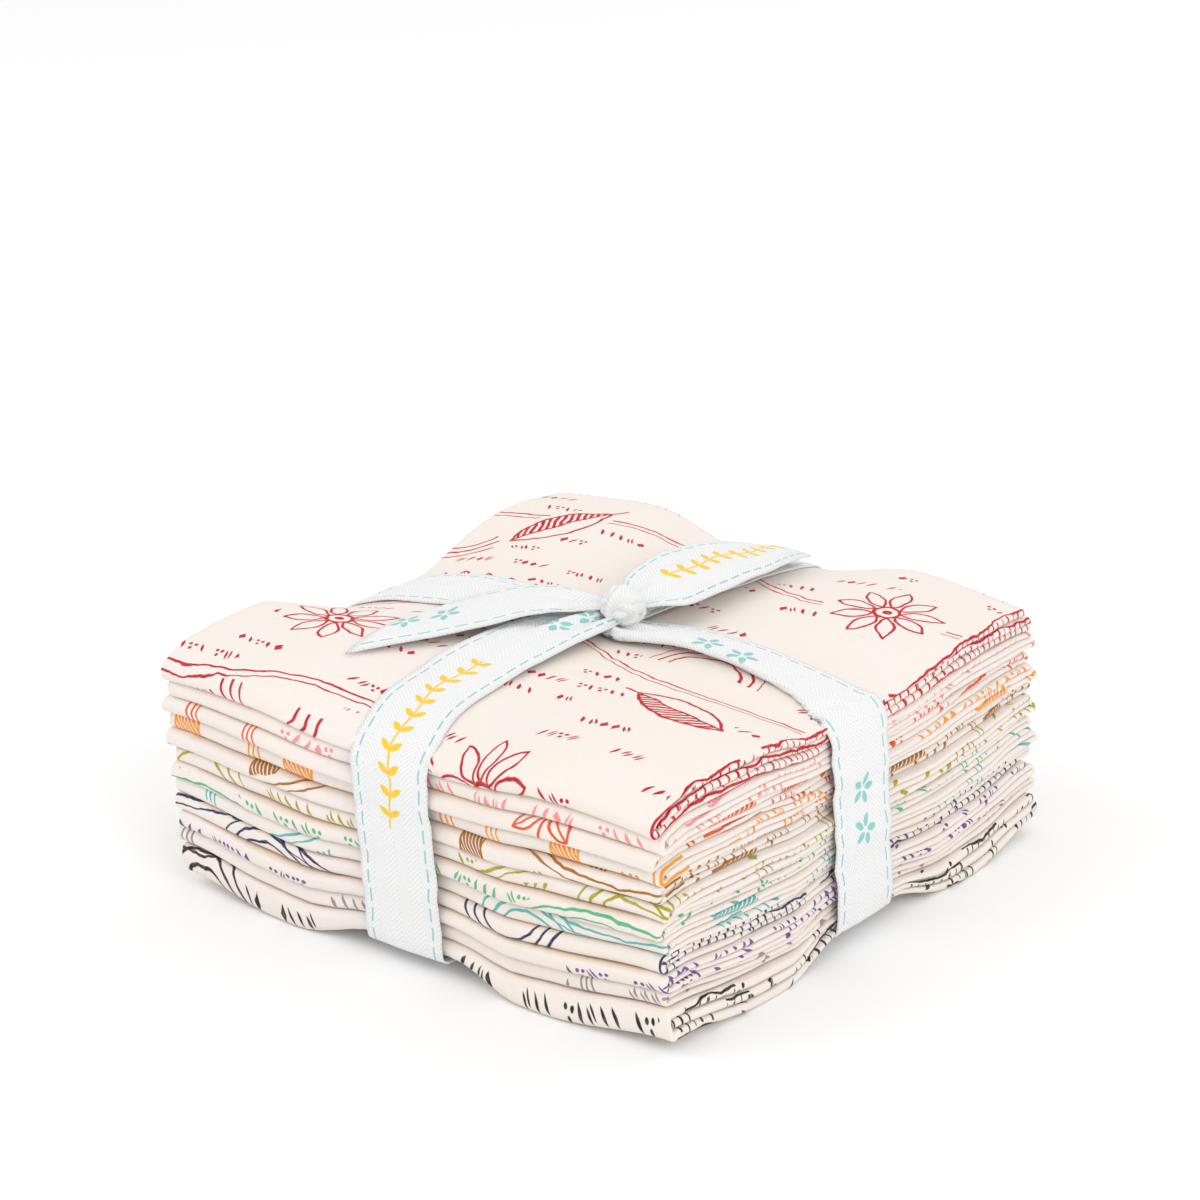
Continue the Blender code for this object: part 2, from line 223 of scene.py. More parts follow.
def clothPiece(name, places, flat, thickness, node, material):
    # places: rows by columns by xyz in metres; flat: the same by the flat cloth's x, y in metres
    rows, columns = places.shape[:2]
    index = np.arange(rows * columns).reshape(rows, columns)
    faces = np.stack([index[:-1, :-1], index[:-1, 1:], index[1:, 1:], index[1:, :-1]], axis=-1)
    mesh = bpy.data.meshes.new(name)
    mesh.from_pydata(places.reshape(-1, 3).tolist(), [], faces.reshape(-1, 4).tolist())
    corners = flat.reshape(-1, 2)[faces].reshape(-1, 2)
    cloth = mesh.uv_layers.new(name="flatCloth")
    cloth.data.foreach_set("uv", corners.astype(np.float32).ravel())
    low, high = corners.min(axis=0), corners.max(axis=0)
    bake = mesh.uv_layers.new(name="OFBake")
    spread = 0.004 + 0.992 * (corners - low) / (high - low)
    bake.data.foreach_set("uv", spread.astype(np.float32).ravel())
    mesh.uv_layers.active = cloth
    mesh.shade_smooth()
    mesh.materials.append(material)
    thing = bpy.data.objects.new(name, mesh)
    scene.collection.objects.link(thing)
    solid = thing.modifiers.new("clothThickness", "SOLIDIFY")
    solid.thickness = thickness * mm
    solid.offset = 0.0
    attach(thing, "root")
    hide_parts(node)
    return thing


def arcLength(points):
    steps = np.linalg.norm(np.diff(points, axis=0), axis=1)
    return np.concatenate([[0.0], np.cumsum(steps)])


fold = {
    "layerPitch": 0.41,      # the four layers of cotton in one pass
    "thickness": 0.29,
    "rawEnds": (-71.2, -70.7),
    "nestedBack": 0.55,      # how far the inner turn stays behind the outer one
    "rollDepth": 1.3,        # how far the large turn reaches out past its passes
    "rollSquare": 0.78,      # under 1 the turn is fuller than a circle
    "turnDepth": 0.75,       # the same for the small turn at the back
    "rollSteps": 15,
    "turnSteps": 9,
    "edgeWander": 0.55,      # how unevenly the edges lie, from a way out from the middle
    "wanderFrom": 45.0,
    "wanderRun": (26.0, 30.0),
    "lift": 0.12,            # four layers are a little thicker than the solid pass
    "stations": {"shown": (38, 38), "between": (27, 26)},      # mesh lines along x and y
}

# From the floor up: name, shift along x and y, set-back of the free end, seed
fatQuarters = (
    ("black", 0.9, -0.5, 1.5, 3),
    ("grey", -0.4, 0.4, 0.5, 14),
    ("purple", 0.6, -0.8, 2.0, 25),
    ("navy", -0.7, 0.2, 0.8, 36),
    ("teal", 0.3, 0.7, 1.2, 47),
    ("green", -0.2, -0.6, 2.2, 58),
    ("olive", 0.8, 0.5, 0.6, 69),
    ("mustard", -0.9, -0.2, 1.8, 71),
    ("amber", 0.4, 0.8, 1.0, 82),
    ("coral", -0.5, -0.7, 2.4, 93),
    ("pink", 0.7, 0.3, 0.7, 104),
    ("red", 0.3, -0.4, 1.4, 115),
)
outside = ("red", "black")      # the top and bottom pieces, whose faces show


def stations(reach, count):
    # closer together towards the edges of the stack
    share = np.linspace(-1.0, 1.0, count)
    return reach * (0.80 * share + 0.20 * np.sin(share * math.pi / 2.0))


def turn(centreX, centreY, radius, fromDegrees, toDegrees, steps):
    angles = np.radians(np.linspace(fromDegrees, toDegrees, steps + 1))
    return [(centreX + radius * math.cos(a), centreY + radius * math.sin(a)) for a in angles]


def fourLayers(count):
    # the pass seen end on: places along x and offsets from its middle
    pitch = fold["layerPitch"]
    outer = 1.5 * pitch
    skin = fold["thickness"] / 2.0
    outerTurn = halfLength - outer - skin
    innerTurn = outerTurn - fold["nestedBack"]
    farTurn = -halfLength + pitch / 2.0 + skin
    inside = list(stations(halfLength - 2.2, count))
    second, first = fold["rawEnds"]
    path = [(second, -pitch / 2.0)]
    path += [(x, -pitch / 2.0) for x in inside]
    path += turn(innerTurn, 0.0, pitch / 2.0, -90, 90, 4)
    path += [(x, pitch / 2.0) for x in reversed(inside)]
    path += turn(farTurn, pitch, pitch / 2.0, 270, 90, 4)
    path += [(x, outer) for x in inside]
    path += turn(outerTurn, 0.0, outer, 90, -90, 8)
    path += [(x, -outer) for x in reversed(inside)]
    path.append((first, -outer))
    return np.array(path)


def threePasses(count, setBack):
    # Rows: centre y and level, reach of the turn in y and level, direction y and level, and
    # how far the row belongs to the top, bottom and middle pass
    low, middle, high = [stack["leaf"] / 2.0 + n * stack["passPitch"] for n in range(stack["passes"])]
    rollY = -halfWidth + fold["rollDepth"] + stack["leaf"] / 2.0
    turnY = halfWidth - fold["turnDepth"] - stack["leaf"] / 2.0
    inside = list(stations(halfWidth - 3.6, count))
    rows = [(turnY - setBack, high, 0, 0, 0, 1, 1, 0, 0)]
    rows += [(y, high, 0, 0, 0, 1, 1, 0, 0) for y in reversed(inside)]
    square = fold["rollSquare"]
    for gone in np.linspace(0.0, 1.0, fold["rollSteps"]):
        angle = math.radians(90.0 + 180.0 * gone)
        across = -abs(math.cos(angle)) ** square
        up = math.copysign(abs(math.sin(angle)) ** square, math.sin(angle))
        rows.append((rollY, middle, fold["rollDepth"], stack["passPitch"], across, up,
                     1.0 - gone, gone, 0))
    rows += [(y, low, 0, 0, 0, -1, 0, 1, 0) for y in inside]
    for gone in np.linspace(0.0, 1.0, fold["turnSteps"]):
        angle = math.radians(-90.0 + 180.0 * gone)
        rows.append((turnY, (low + middle) / 2.0, fold["turnDepth"], stack["passPitch"] / 2.0,
                     math.cos(angle), math.sin(angle), 0, 1.0 - gone, gone))
    rows += [(y, middle, 0, 0, 0, 1, 0, 0, 1) for y in reversed(inside)]
    rows.append((rollY, middle, 0, 0, 0, 1, 0, 0, 1))
    return np.array(rows, float)


def makeFatQuarter(number, name, shiftX, shiftY, setBack, seed):
    countX, countY = fold["stations"]["shown" if name in outside else "between"]
    layers = fourLayers(countX)
    rows = threePasses(countY, setBack)
    centreY, centreZ, reachY, reachZ, outY, outZ = [c[None, :] for c in rows.T[:6]]
    x, offset = layers[:, :1], layers[:, 1:]
    y = centreY + (reachY + offset) * outY
    level = number * piecePitch + centreZ + (reachZ + offset) * outZ + fold["lift"]
    # each edge lies a little differently, and each pass differs at the layered side
    edgeX, edgeY = [ease((abs(place) - fold["wanderFrom"]) / run)
                    for place, run in zip((x, y), fold["wanderRun"])]
    wander = 0.0
    for n, belongs in enumerate(rows.T[6:]):
        wander = wander + belongs[None, :] * sway(seed + n, y + 40.0 * n, 62.0)
    movedX = x + edgeX * (shiftX + fold["edgeWander"] * wander)
    movedY = y + edgeY * (shiftY + 0.6 * fold["edgeWander"] * sway(seed + 7, x, 85.0))
    places = pillow(movedX, movedY, level)
    middleLine = grid(centreY[0] + reachY[0] * outY[0], centreZ[0] + reachZ[0] * outZ[0])
    alongLayers = arcLength(layers)
    topLayer = (layers[:, 1] > 1.4 * fold["layerPitch"]) & (abs(layers[:, 0]) < 30.0)
    middleOfTop = float(np.mean(alongLayers[topLayer] - layers[topLayer, 0]))
    flat = grid((alongLayers - middleOfTop)[:, None],
                (middleLine[0, 0] - arcLength(middleLine))[None, :]) * mm
    return clothPiece("fatQuarter." + name, places, flat, fold["thickness"],
                      "fat_quarter_" + name, makeCotton(name, prints[name]))


def feed(place, value):
    # puts a number, a colour or what comes out of another node into a node
    if isinstance(value, Flow):
        value = value.socket
    if isinstance(value, bpy.types.NodeSocket):
        place.id_data.links.new(value, place)
    else:
        place.default_value = value


class Flow:
    # a socket that adds and multiplies as a number would
    def __init__(self, tree, socket):
        self.tree = tree
        self.socket = socket

    def does(self, operation, *others):
        node = self.tree.nodes.new("ShaderNodeMath")
        node.operation = operation
        for place, value in zip(node.inputs, (self,) + others):
            feed(place, value)
        return Flow(self.tree, node.outputs[0])

    def __add__(self, other):
        return self.does("ADD", other)

    def __sub__(self, other):
        return self.does("SUBTRACT", other)

    def __mul__(self, other):
        return self.does("MULTIPLY", other)

    def __truediv__(self, other):
        return self.does("DIVIDE", other)

    def __abs__(self):
        return self.does("ABSOLUTE")

    def less(self, other):
        return self.does("MINIMUM", other)

    def more(self, other):
        return self.does("MAXIMUM", other)

    def over(self, limit):
        return self.does("GREATER_THAN", limit)

    def under(self, limit):
        return self.does("LESS_THAN", limit)

    def clamped(self):
        return self.more(0.0).less(1.0)

    def wave(self, period):
        return (self * (fullTurn / period)).does("SINE")

    def wrapped(self, period):
        # the distance from the nearest whole number of periods
        return self.does("WRAP", period / 2.0, -period / 2.0)


def addNode(tree, kind, **settings):
    node = tree.nodes.new(kind)
    for name, value in settings.items():
        setattr(node, name, value)
    return node


def vectorOf(tree, *parts):
    node = addNode(tree, "ShaderNodeCombineXYZ")
    for place, value in zip(node.inputs, parts):
        feed(place, value)
    return node.outputs[0]


def radiusOf(x, y):
    node = addNode(x.tree, "ShaderNodeVectorMath", operation="LENGTH")
    feed(node.inputs[0], vectorOf(x.tree, x, y))
    return Flow(x.tree, node.outputs["Value"])


def chance(tree, *cell):
    # three random numbers for a cell of the cloth
    node = addNode(tree, "ShaderNodeTexWhiteNoise", noise_dimensions="3D")
    feed(node.inputs["Vector"], vectorOf(tree, *cell))
    split = addNode(tree, "ShaderNodeSeparateColor")
    feed(split.inputs[0], node.outputs["Color"])
    return [Flow(tree, split.outputs[n]) for n in range(3)]


def cloud(tree, scale, x, y, z=0.0, detail=2.0):
    node = addNode(tree, "ShaderNodeTexNoise")
    feed(node.inputs["Vector"], vectorOf(tree, x, y, z))
    feed(node.inputs["Scale"], scale)
    feed(node.inputs["Detail"], detail)
    return Flow(tree, node.outputs["Fac"])


def turned(x, y, angle):
    cosine = angle.does("COSINE")
    sine = angle.does("SINE")
    return x * cosine + y * sine, y * cosine - x * sine


def turnedBy(x, y, degrees):
    cosine, sine = math.cos(math.radians(degrees)), math.sin(math.radians(degrees))
    return x * cosine + y * sine, y * cosine - x * sine


def cellAt(place, pitch):
    # the number of a cell, and the place counted from its middle
    number = (place / pitch).does("FLOOR")
    return number, place - (number + 0.5) * pitch


def rowAt(y, pitch):
    # the large turn runs along the middle of a row
    return cellAt(y - (foldLine - pitch / 2.0), pitch)


def leafShape(x, y, half, slim):
    # a pointed oval along y: under 0 inside
    aside = (half ** 2 - slim ** 2) / (2.0 * slim)
    return radiusOf(abs(x) + aside, y) - (aside + slim)


def petalRing(x, y, count, middle, half, slim):
    # the distance from the middle of a flower, and its petals
    reach = radiusOf(x, y)
    angle = y.does("ARCTAN2", x).wrapped(fullTurn / count)
    petal = leafShape(reach * angle.does("SINE"), reach * angle.does("COSINE") - middle, half, slim)
    return reach, petal


def oneOf(pick, away, *shapes):
    # each shape comes with the range of the random number for which it is drawn
    found = [shape + (pick.under(low) + pick.over(high)) * away for shape, low, high in shapes]
    nearest = found[0]
    for shape in found[1:]:
        nearest = nearest.less(shape)
    return nearest


def printGroup(name, draw):
    # a node group that takes the flat cloth's x, y in mm, and gives the distance from the ink
    # and from the room that the motif keeps to itself
    tree = bpy.data.node_groups.new(name, "ShaderNodeTree")
    for label in ("X", "Y", "Seed", "Cover"):
        tree.interface.new_socket(label, in_out="INPUT", socket_type="NodeSocketFloat")
    for label in ("Distance", "Room"):
        tree.interface.new_socket(label, in_out="OUTPUT", socket_type="NodeSocketFloat")
    start = addNode(tree, "NodeGroupInput")
    end = addNode(tree, "NodeGroupOutput")
    found = draw(tree, *[Flow(tree, start.outputs[n]) for n in range(4)])
    for place, flow in zip(end.inputs, found):
        feed(place, flow)
    return tree


leftOut = 9.0           # mm from the ink, so that nothing is drawn
foldLine = -77.3        # where the large turn lies on the flat cloth, in mm from the middle

seedRow = {"rowPitch": 8.4, "markPitch": 2.9, "group": 6.0, "half": 1.65, "slim": 0.42, "lean": 30.0}


def drawSeedRows(tree, x, y, seed, cover):
    # rows of slanted seeds, slim pairs, dots in threes and diamonds, in groups with gaps
    row, inRow = rowAt(y, seedRow["rowPitch"])
    rowChance = chance(tree, row, seed, 1.0)
    column, inX = cellAt(x + rowChance[0] * 60.0, seedRow["markPitch"])
    inY = inRow - (rowChance[1] - 0.5) * 1.2
    group = (column / seedRow["group"]).does("FLOOR")
    groupChance = chance(tree, group, row, seed + 5.0)
    gap = (column - group * seedRow["group"]).under(groupChance[1] * 2.2)
    kind = chance(tree, column, row, seed + 2.0)[0]
    side = groupChance[2].over(0.5) * 2.0 - 1.0
    leanX, leanY = turned(inX, inY, side * math.radians(seedRow["lean"]))
    grain = leafShape(leanX, leanY, seedRow["half"], seedRow["slim"])
    pair = leafShape(abs(leanX) - 0.5, leanY, seedRow["half"] * 0.9, 0.3)
    dots = radiusOf(inX, inY + 0.8).less(radiusOf(abs(inX) - 0.8, inY - 0.6)) - 0.5
    diamond = (abs(inX) * 1.35 + abs(inY)) * 0.6 - 0.85
    mark = oneOf(kind, leftOut, (grain, 0, 0.42), (pair, 0.42, 0.64), (dots, 0.64, 0.84),
                 (diamond, 0.84, 1))
    mark = mark + (gap + groupChance[0].over(cover)) * leftOut
    return mark, mark


garden = {"cellWide": 76.0, "cellHigh": 42.0, "line": 0.26, "size": 1.3}


def drawGarden(tree, x, y, seed, cover):
    # line-drawn sprigs, daisies and hatched leaves, one to a cell, each turned its own way
    row, inRow = rowAt(y, garden["cellHigh"])
    column, inColumn = cellAt(x, garden["cellWide"])
    pick = chance(tree, column, row, seed)
    other = chance(tree, column, row, seed + 3.0)
    inX = (inColumn - (pick[1] - 0.5) * 30.0) / garden["size"]
    inY = (inRow - (pick[2] - 0.5) * 12.0) / garden["size"]
    inX, inY = turned(inX, inY, pick[0] * fullTurn)
    line = garden["line"]
    # sprig: a bent stem with pairs of leaves
    bent = inX - (inY * 0.11).does("SINE") * 1.7
    stem = (abs(bent) - line).more(abs(inY) - 13.0)
    leafX, leafY = turnedBy(abs(bent), inY.wrapped(6.4) + 2.4, -58.0)
    leaf = leafShape(leafX, leafY - 3.5, 3.2, 1.35)
    leafLine = (abs(leaf) - line).less((abs(leafX) - 0.16).more(leaf))
    sprig = stem.less(leafLine.more(abs(inY) - 12.8))
    # daisy: petals round a dotted eye
    reach, petal = petalRing(inX, inY, 9, 6.4, 3.9, 1.55)
    daisy = (abs(petal) - line).less(abs(reach - 2.3) - 0.34).less(reach - 0.9)
    # leaf with one half hatched
    blade = leafShape(inX, inY, 10.5, 4.2)
    hatch = (abs((inX * 0.8 + inY).wrapped(1.5)) - 0.42).more(blade)
    half = hatch.more(inX * -1.0).less(abs(blade) - line * 1.2)
    half = half.less((abs(inX) - 0.26).more(abs(inY + 2.0) - 12.0))
    away = leftOut * 2.0            # these are large
    missing = other[1].over(cover) * away
    motif = oneOf(other[0], away, (sprig, 0, 0.35), (daisy, 0.35, 0.72), (half, 0.72, 1))
    room = oneOf(other[0], away, (leafShape(inX, inY, 15.0, 7.0), 0, 0.35),
                 (reach - 12.0, 0.35, 0.72), (leafShape(inX, inY, 14.5, 6.0), 0.72, 1))
    return motif + missing, room + missing


hills = {"cellWide": 64.0, "cellHigh": 37.0, "pitch": 2.3, "line": 0.3, "pathPitch": 62.0}


def drawHills(tree, x, y, seed, cover):
    # nested arcs, and long wandering lines in pairs
    row, inRow = rowAt(y, hills["cellHigh"])
    slid = x + chance(tree, row, seed, 4.0)[0] * hills["cellWide"]
    column, inColumn = cellAt(slid, hills["cellWide"])
    pick = chance(tree, column, row, seed)
    inX = inColumn - (pick[1] - 0.5) * 20.0
    inY = inRow - (pick[2] - 0.5) * 6.0
    flipped = pick[0].over(0.5) * 2.0 - 1.0
    reach = radiusOf(inX * 0.8, inY * flipped + 5.0)
    arcs = (abs((reach - pick[0]).wrapped(hills["pitch"])) - hills["line"]).more(reach - 12.5)
    arcs = arcs.more(reach * -1.0 + 7.0).more(inY * flipped * -1.0 - 4.0)
    missing = pick[1].over(cover) * leftOut
    path = y - foldLine + (x * 0.065 + seed).does("SINE") * 5.0 + (x * 0.021 + seed).does("SINE") * 9.0
    first = abs(path.wrapped(hills["pathPitch"])) - hills["line"]
    second = abs((path + 1.9).wrapped(hills["pathPitch"])) - hills["line"] * 0.7
    pathRoom = abs((path + 1.0).wrapped(hills["pathPitch"])) - 3.2
    return (arcs + missing).less(first).less(second), pathRoom.less(reach - 14.0 + missing)


bars = {"pitch": 19.0, "reachOut": 13.0, "line": 0.3}


def drawBars(tree, x, y, seed, cover):
    # short bars across the folds in twos and threes, and some hatched blocks
    row, inY = rowAt(y, bars["reachOut"] * 2.0)
    column, inColumn = cellAt(x + chance(tree, row, seed, 8.0)[0] * 40.0, bars["pitch"])
    pick = chance(tree, column, row, seed)
    inX = inColumn - (pick[2] - 0.5) * 9.0 + (inY * 0.13).does("SINE") * 0.7
    three = (abs(inX.wrapped(1.55)) - bars["line"]).more(abs(inX) - 2.6)
    three = three.more(abs(inY) - bars["reachOut"] * 0.72)
    block = (abs((inX + inY * 0.7).wrapped(1.15)) - 0.4).more(abs(inX) - 3.4)
    block = block.more(abs(inY) - 7.5).less(abs(abs(inX) - 3.6).more(abs(inY) - 7.7) - 0.3)
    motif = oneOf(pick[0], leftOut, (three, 0, 0.6), (block, 0.6, 1))
    missing = pick[1].over(cover) * leftOut
    return motif + missing, (abs(inX) - 5.0).more(abs(inY) - 11.0) + missing


edgeMarks = {"centre": 73.0, "rowReach": 3.6, "tickPitch": 2.7, "line": 0.3}


def drawTicks(tree, x, y, seed, cover):
    # a row of ticks with a rail that meets the layered fold edges, in lengths
    away = x - edgeMarks["centre"] - (cloud(tree, 0.035, 0.0, y, seed) - 0.5) * 4.0
    step = chance(tree, (y / edgeMarks["tickPitch"]).does("FLOOR"), seed, 2.0)
    long = step[0] * 1.9
    ticks = (abs((y + step[1] * 0.5).wrapped(edgeMarks["tickPitch"])) - edgeMarks["line"]).more(
        abs(away - long * 0.4) - 0.7 - long)
    rail = abs(away + 1.5) - 0.26
    missing = cloud(tree, 0.03, y, seed * 7.7, 3.3).over(cover) * leftOut
    return ticks.less(rail) + missing, abs(away) - 3.0 + missing


drawnBy = {"seeds": drawSeedRows, "garden": drawGarden, "hills": drawHills, "bars": drawBars,
           "ticks": drawTicks}
printGroups = {motif: printGroup("print." + motif, draw) for motif, draw in drawnBy.items()}


def srgb(*channels):
    return tuple((c / 255.0 / 12.92) if c <= 10 else ((c / 255.0 + 0.055) / 1.055) ** 2.4
                 for c in channels) + (1.0,)


cotton = {
    "ground": srgb(238, 231, 229),
    "groundWarm": srgb(239, 230, 219),
    # painted shade for the gaps between the rolled passes
    "paintedFoldShade": srgb(212, 178, 142),
    "threadPitch": 0.36,
    "weaveDepth": 0.05,
    "thread": srgb(214, 190, 168),      # random darker specks, and painted shade in the gaps between the threads
    "softness": 0.16,        # how far the ink's edge fades, mm
    "unsteady": 2.2,
    "roughness": 0.88,
    "sheen": 0.04,
}

# A motif leaves bare what those before it keep to themselves
drawingOrder = ("garden", "ticks", "hills", "bars", "seeds", "edgeSeeds")

# Ink colour and how much of its places each motif takes; edgeSeeds are seed rows that run
# along the layered fold edges
prints = {
    "red": {"ink": (186, 8, 30), "seeds": 0.50, "garden": 0.80, "hills": 0.35, "ticks": 0.60,
            "edgeSeeds": 0.35, "seed": 12},
    "pink": {"ink": (240, 146, 146), "seeds": 0.35, "bars": 0.20, "edgeSeeds": 0.40, "seed": 21},
    "coral": {"ink": (222, 84, 36), "garden": 0.50, "bars": 0.50, "edgeSeeds": 0.50, "seed": 9},
    "amber": {"ink": (238, 150, 26), "seeds": 0.20, "bars": 0.80, "edgeSeeds": 0.42, "seed": 33},
    "mustard": {"ink": (164, 104, 18), "hills": 0.30, "bars": 0.75, "edgeSeeds": 0.70, "seed": 17},
    "olive": {"ink": (168, 162, 28), "seeds": 0.72, "hills": 0.30, "edgeSeeds": 0.42, "seed": 40},
    "green": {"ink": (84, 178, 126), "seeds": 0.66, "hills": 0.15, "edgeSeeds": 0.42, "seed": 52},
    "teal": {"ink": (88, 178, 180), "hills": 0.30, "bars": 0.45, "edgeSeeds": 0.25, "seed": 61},
    "navy": {"ink": (36, 46, 90), "seeds": 0.15, "hills": 0.70, "ticks": 0.50, "edgeSeeds": 0.35,
             "seed": 70},
    "purple": {"ink": (106, 76, 148), "seeds": 0.45, "garden": 0.30, "edgeSeeds": 0.50, "seed": 85},
    "grey": {"ink": (150, 140, 140), "seeds": 0.40, "bars": 0.15, "edgeSeeds": 0.28, "seed": 97},
    "black": {"ink": (40, 34, 40), "seeds": 0.56, "hills": 0.30, "ticks": 0.48, "edgeSeeds": 0.30,
              "seed": 113},
}


def flatPlace(tree):
    # the flat cloth's x and y in millimetres
    uv = addNode(tree, "ShaderNodeUVMap", uv_map="flatCloth")
    split = addNode(tree, "ShaderNodeSeparateXYZ")
    feed(split.inputs[0], uv.outputs[0])
    return Flow(tree, split.outputs[0]) * 1000.0, Flow(tree, split.outputs[1]) * 1000.0


def mixColours(tree, share, first, second):
    node = addNode(tree, "ShaderNodeMix", data_type="RGBA")
    feed(node.inputs["Factor"], share)
    feed(node.inputs[6], first)
    feed(node.inputs[7], second)
    return node.outputs[2]


def bumpFrom(tree, height, distance, strength):
    node = addNode(tree, "ShaderNodeBump")
    feed(node.inputs["Distance"], distance * mm)
    feed(node.inputs["Strength"], strength)
    feed(node.inputs["Height"], height)
    return node.outputs[0]


def newCloth(name, look):
    material = bpy.data.materials.new(name)
    material.use_nodes = True
    tree = material.node_tree
    shader = tree.nodes["Principled BSDF"]
    feed(shader.inputs["Roughness"], look["roughness"])
    feed(shader.inputs["Sheen Weight"], look["sheen"])
    feed(shader.inputs["Sheen Roughness"], 0.6)
    feed(shader.inputs["Specular IOR Level"], 0.12)
    return material, tree, shader


def plainWeave(tree, x, y):
    # threads over and under, thicker in places
    pitch = cotton["threadPitch"]
    slubAcross = cloud(tree, 1.0, x * 0.12, y * 2.2, 1.0, 1.0)
    slubAlong = cloud(tree, 1.0, x * 2.2, y * 0.12, 5.0, 1.0)
    return x.wave(pitch) * y.wave(pitch) * 0.5 + (slubAcross + slubAlong) * 1.1


def makeCotton(name, look):
    material, tree, shader = newCloth("printedCotton." + name, cotton)
    x, y = flatPlace(tree)
    # an unsteady hand moves each line a little
    drawnX, drawnY = [place + (cloud(tree, 0.16, x, y, start) - 0.5) * cotton["unsteady"]
                      for place, start in ((x, 2.0), (y, 31.0))]
    edgeX = x - edgeMarks["centre"]
    acrossEdge = edgeX + foldLine
    ink = room = abs(edgeX) + leftOut       # no ink yet, and no room taken
    for motif in [kind for kind in drawingOrder if kind in look]:
        onEdge = motif == "edgeSeeds"
        node = addNode(tree, "ShaderNodeGroup", node_tree=printGroups["seeds" if onEdge else motif])
        feed(node.inputs["X"], drawnY if onEdge else drawnX)
        feed(node.inputs["Y"], acrossEdge if onEdge else drawnY)
        feed(node.inputs["Seed"], float(look["seed"]))
        feed(node.inputs["Cover"], look[motif])
        distance = Flow(tree, node.outputs["Distance"])
        if onEdge:
            distance = distance.more(abs(edgeX) - edgeMarks["rowReach"])
        ink = ink.less(distance.more(room * -1.0))
        if motif != "seeds" and not onEdge:
            room = room.less(Flow(tree, node.outputs["Room"]))
    weave = plainWeave(tree, x, y)
    worn = cloud(tree, 0.9, x, y, 8.0, 3.0)
    weight = (worn - 0.5) * 0.16
    cover = ((ink + weight) * (-1.0 / cotton["softness"]) + 0.5).clamped()
    cover = cover * (worn * 0.30 + 0.82).less(1.0)
    patch = (cloud(tree, 0.03, x, y, 4.0, 3.0) * 1.6 - 0.3).clamped()
    ground = mixColours(tree, patch, cotton["ground"], cotton["groundWarm"])
    if name not in outside:         # painted shade: the cloth inside the rolled folds is painted browner, for the shade in the gaps between the passes
        fromFold = abs(y - foldLine)
        fromEdge = abs((x - edgeMarks["centre"]).wrapped(2.0 * halfLength))
        # where the painted shade goes: it rises from 2.1 mm past the fold line, stops at 14 mm, and fades
        # out near both side edges
        inside = ((fromFold - 2.1) * 0.5).more(0.0).less((fromEdge - 6.0) * 0.2) * fromFold.under(14.0)
        inside = inside.more(0.0).less(0.75)
        ground = mixColours(tree, inside, ground, cotton["paintedFoldShade"])
    # random specks of darker thread, and painted shade where the weave is low between the threads
    speckleAndGapShade = (cloud(tree, 1.3, x, y, 6.0, 4.0) - 0.5) * 0.10 + (weave - 1.1) * 0.035
    threads = mixColours(tree, (speckleAndGapShade + 0.08).clamped(), ground, cotton["thread"])
    colour = mixColours(tree, cover, threads, srgb(*look["ink"]))
    feed(shader.inputs["Base Color"], colour)
    feed(shader.inputs["Normal"], bumpFrom(tree, weave, cotton["weaveDepth"], 0.6))
    return material


for number, row in enumerate(fatQuarters):
    piece = makeFatQuarter(number, *row)
print("twelve fat quarters folded")


ribbon = {
    "thickness": 0.42,
    "columns": 25,
    "sideAir": 1.8,            # how far it stands off the sides
    "baseAir": 0.62,           # and below the bottom piece
    "footRadius": 2.0,         # of its bends at the bottom
    "tuckRadius": 0.55,
    "white": srgb(242, 242, 242),
    "whiteShade": srgb(204, 204, 204),
    "thread": srgb(120, 198, 196),
    "yellow": srgb(246, 200, 8),
    "stitchFromEdge": 2.2,
    "stitchPitch": 4.7,
    "stitchLong": 3.2,
    "zigzag": 3.4,             # width of one column of the herringbone
    "ribPitch": 1.15,
    "crossPitch": 0.42,
    "weaveDepth": 0.14,
    "selvage": 0.9,
    "softness": 0.2,
    "roughness": 0.62,
    "sheen": 0.05,
    "patternLength": 220.0,    # one vine, then two pairs of flowers
    "vineMiddle": 1.9,         # so that it ends between two pairs of leaves
    "vineHalf": 28.5,
    "leafPitch": 5.2,
    "leafTurn": -52.0,
    "flowerPairs": (62.0, 122.0),
    "flowerPitch": 10.0,
    "armRows": 46,             # mesh lines along an arm, a side, the base and a tail
    "sideRows": 16,
    "baseRows": 34,
    "tailRows": 48,
}
ribbonWidth = 2.0 * ribbonHalf


